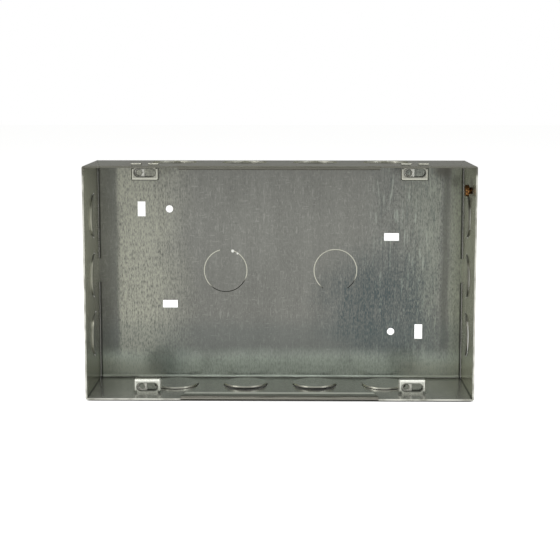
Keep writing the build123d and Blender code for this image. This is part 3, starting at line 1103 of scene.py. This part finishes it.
@dataclass
class EarthScrew:
    """Slotted cheese-head screw in the right end wall, with a cut thread."""

    winder: bpy.types.NodeTree
    node: str = "earth_screw"
    head_height: float = 2.2 * MM
    head_edge: float = 0.5 * MM
    under_edge: float = 0.1 * MM
    crown: float = 0.15 * MM
    crown_steps: tuple[Span, ...] = ((0.5, 0.5), (0.0, 0.05))
    slot_width: float = 1.0 * MM
    slot_depth: float = 1.1 * MM
    slot_length: float = 10.0 * MM
    slot_angle_deg: float = 35.0
    pitch: float = 0.7 * MM
    shank_radius: float = 2.0 * MM
    tip_chamfer: float = 0.5 * MM
    sides: int = 64
    edge_steps: int = 5

    def profile(self, low: Vector, high: Vector) -> list[Span]:
        """Half-section from the tip to the head's crown.

        Args:
            low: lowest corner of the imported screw.
            high: its highest corner.

        Returns:
            Places along the axis and radii.
        """
        head_radius = (high.z - low.z) / 2
        core = self.shank_radius - self.pitch / 2
        under_head = low.x + self.head_height
        points = [
            (high.x, core - self.tip_chamfer),
            (high.x - self.tip_chamfer, core),
            (under_head, core),
            (under_head, head_radius - self.under_edge),
            (under_head - self.under_edge, head_radius),
        ]
        for step in range(self.edge_steps + 1):
            angle = math.pi / 2 * step / self.edge_steps
            along = low.x + self.crown + self.head_edge * (1 - math.sin(angle))
            points.append((along, head_radius - self.head_edge * (1 - math.cos(angle))))
        points += [(low.x + self.crown * rise, head_radius * part) for rise, part in self.crown_steps]
        return points

    def build(self, finish: Material) -> bpy.types.Object:
        """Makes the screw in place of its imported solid.

        Args:
            finish: its material.

        Returns:
            The piece.
        """
        low, high = (Vector(corner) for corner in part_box(self.node))
        axis_y, axis_z = (low.y + high.y) / 2, (low.z + high.z) / 2
        turns = [2 * math.pi * index / self.sides for index in range(self.sides)]
        circle = [(math.cos(turn), math.sin(turn)) for turn in turns]
        rings = []
        for along, radius in self.profile(low, high):
            rings.append([Vector((along, axis_y + radius * y, axis_z + radius * z)) for y, z in circle])
        blank = rings_mesh(self.node, rings, closed=False)
        slotted = self.cut_slot(blank, Vector((low.x, axis_y, axis_z)))
        thread = Thread(
            pitch=self.pitch,
            length=high.x - low.x - self.head_height - self.pitch - self.tip_chamfer,
            radius=self.shank_radius - self.pitch / 2,
            ridge=self.pitch / 2,
            place=(low.x + self.head_height + self.pitch / 2, axis_y, axis_z),
            turn=(0.0, math.radians(90.0), 0.0),
        )
        piece = joined("earth_screw_threaded", [slotted, thread.mesh(self.winder, finish)], finish)
        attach(piece, Body.BOX.value)
        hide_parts(self.node)
        return piece

    def cut_slot(self, blank: Mesh, top: Vector) -> Mesh:
        """Cuts the driver slot.

        Args:
            blank: the turned screw.
            top: middle of the head's crown.

        Returns:
            The slotted mesh.
        """
        block = bmesh.new()
        bmesh.ops.create_cube(block, size=1.0)
        size = Matrix.Diagonal((2 * self.slot_depth, self.slot_width, self.slot_length, 1.0))
        turn = Matrix.Rotation(math.radians(self.slot_angle_deg), 4, "X")
        block.transform(Matrix.Translation(top) @ turn @ size)
        cutter_mesh = bpy.data.meshes.new("slot_cutter")
        block.to_mesh(cutter_mesh)
        block.free()
        cutter = linked("slot_cutter", cutter_mesh)
        holder = linked("slotting", blank)
        modifier = holder.modifiers.new("slot", "BOOLEAN")
        modifier.operation = "DIFFERENCE"
        modifier.solver = "EXACT"
        modifier.object = cutter
        slotted = settled(holder)
        bpy.data.objects.remove(cutter)
        return slotted


def dress(node: str, finish: Material) -> None:
    """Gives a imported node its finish.

    Args:
        node: the node's name.
        finish: the material.
    """
    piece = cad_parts[node]
    for slot in piece.material_slots:
        slot.material = finish
    log.info("%s dressed in %s", node, finish.name)


@dataclass
class BoxBody:
    """The folded sheet."""

    node: str = "box_body"

    def dress(self) -> None:
        """Gives the sheet its streaked zinc."""
        dress(self.node, ZincSheet().material())


@dataclass
class LugSet:
    """The four pressed lugs."""

    bright: LugPlate = LugPlate(
        "lug_plate", clean=(0.50, 0.515, 0.455), worn=(0.39, 0.40, 0.35), soil=(0.12, 0.118, 0.10)
    )
    # A darker copy of the lug plate for the upper lugs: painted shade.
    painted_shade_plate: LugPlate = LugPlate(
        "lug_plate_painted_shade",
        clean=(0.34, 0.34, 0.29),
        worn=(0.26, 0.26, 0.22),
        soil=(0.09, 0.088, 0.07),
        bare_and_highlight=(0.50, 0.50, 0.43),
    )

    def dress(self) -> None:
        """Gives the lower lugs a bright plate and the upper ones a darker copy, as painted shade."""
        bright, painted_shade_plate = self.bright.material(), self.painted_shade_plate.material()
        for corner in Corner:
            lower = corner in (Corner.BOTTOM_LEFT, Corner.BOTTOM_RIGHT)
            dress(f"lug_{corner.value}", bright if lower else painted_shade_plate)


@dataclass
class Fittings:
    """The threaded pieces: four nuts and the earth screw."""

    nut_finish: WornMetal = WornMetal(
        "nut_plate", clean=(0.52, 0.52, 0.47), worn=(0.38, 0.38, 0.34), soil=(0.10, 0.098, 0.085)
    )
    brass: WornMetal = WornMetal(
        "tarnished_brass",
        clean=(0.105, 0.046, 0.016),
        worn=(0.420, 0.200, 0.060),
        soil=(0.020, 0.012, 0.008),
        shine=(0.8, 0.75, 0.65),
        rough=(0.55, 0.30),
        metallic=0.85,
        wear_waves=(1.3, 1.3, 1.3),
        wear_octaves=3.0,
        wear_band=(0.46, 0.60),
        soil_waves=(2.2, 2.2, 2.2),
        soil_octaves=3.0,
        soil_band=(0.48, 0.60),
        soil_share=0.85,
        relief=(0.0, 1.0),
        relief_mm=0.12,
        relief_strength=0.5,
    )

    def build(self) -> None:
        """Makes each threaded piece and logs it."""
        winder = ThreadWinder().tree()
        nut_plate = self.nut_finish.material()
        pieces = [SlidingNut(corner, winder).build(nut_plate) for corner in Corner]
        pieces.append(EarthScrew(winder).build(self.brass.material()))
        for piece in pieces:
            log.info("%s made, %d faces", piece.name, len(piece.data.polygons))


@dataclass(frozen=True)
class Softbox:
    """One large soft lamp that points at the object."""

    name: str
    place: Point
    width: float
    height: float
    watts: float
    colour: Colour = (1.0, 1.0, 1.0)

    def build(self, target: Vector) -> None:
        """Hangs the lamp.

        Args:
            target: the point that it faces.
        """
        lamp = bpy.data.lights.new(self.name, "AREA")
        lamp.shape = "RECTANGLE"
        lamp.size, lamp.size_y = self.width, self.height
        lamp.energy = self.watts
        lamp.color = self.colour
        holder = linked(self.name, lamp)
        holder.location = self.place
        holder.rotation_euler = (target - Vector(self.place)).to_track_quat("-Z", "Y").to_euler()


@dataclass
class Studio:
    """Floor, lamps, surround and camera."""

    floor_half: float = 4.0
    surround: float = 0.45
    surround_colour: Colour = (1.0, 1.0, 1.0)
    lamps: tuple[Softbox, ...] = (
        Softbox("lamp_overhead", (0.0, -0.35, 1.10), 1.0, 0.7, 7.0),
        Softbox("lamp_left", (-0.95, -0.75, 0.45), 0.5, 0.8, 5.0, (1.0, 0.99, 0.96)),
        Softbox("lamp_right", (0.95, -0.85, 0.40), 0.5, 0.8, 3.0, (0.96, 0.985, 1.0)),
    )
    picture_px: int = 560
    axis_row_px: float = 220.0
    focal_px: float = 1238.5
    sensor_mm: float = 36.0
    eye: Point = (8.8 * MM, -710.6 * MM, 110.6 * MM)
    yaw: float = -0.0128
    pitch: float = 0.1138

    def build(self) -> None:
        """Sets up everything round the object."""
        bpy.context.scene.view_settings.view_transform = "Standard"
        self.lay_floor()
        self.light()
        self.aim()

    def lay_floor(self) -> None:
        """Lays the floor under the object's lowest point."""
        level, reach = cad_box[0].z, self.floor_half
        signs = ((-1, -1), (1, -1), (1, 1), (-1, 1))
        mesh = bpy.data.meshes.new("floor")
        mesh.from_pydata([(reach * x, reach * y, level) for x, y in signs], [], [(0, 1, 2, 3)])
        mesh.materials.append(PaleFloor().material())
        floor = linked("floor", mesh)

    def light(self) -> None:
        """Hangs the lamps and sets the surround, white where it is looked at."""
        for lamp in self.lamps:
            lamp.build(Vector())
        world = bpy.data.worlds.new("surround")
        bpy.context.scene.world = world
        graph = Graph(world)
        feeds = {"Color": self.surround_colour, "Strength": graph.stretch(graph.seen(), self.surround, 1.0)}
        graph.close(graph.out("ShaderNodeBackground", feeds), "ShaderNodeOutputWorld")

    def aim(self) -> None:
        """Puts the camera where the photograph was taken from."""
        lens = bpy.data.cameras.new("camera")
        lens.sensor_fit = "HORIZONTAL"
        lens.sensor_width = self.sensor_mm
        lens.lens = self.focal_px / self.picture_px * self.sensor_mm
        lens.shift_y = (self.axis_row_px - self.picture_px / 2) / self.picture_px
        holder = linked("camera", lens)
        holder.location = self.eye
        holder.rotation_euler = (math.pi / 2 - self.pitch, 0.0, -self.yaw)
        bpy.context.scene.camera = holder


def main() -> None:
    """Dresses the object piece by piece and sets up the studio."""
    logging.basicConfig(level=logging.INFO, format="%(name)s: %(message)s")
    BoxBody().dress()
    LugSet().dress()
    Fittings().build()
    Studio().build()


if __name__ == "__main__":
    main()
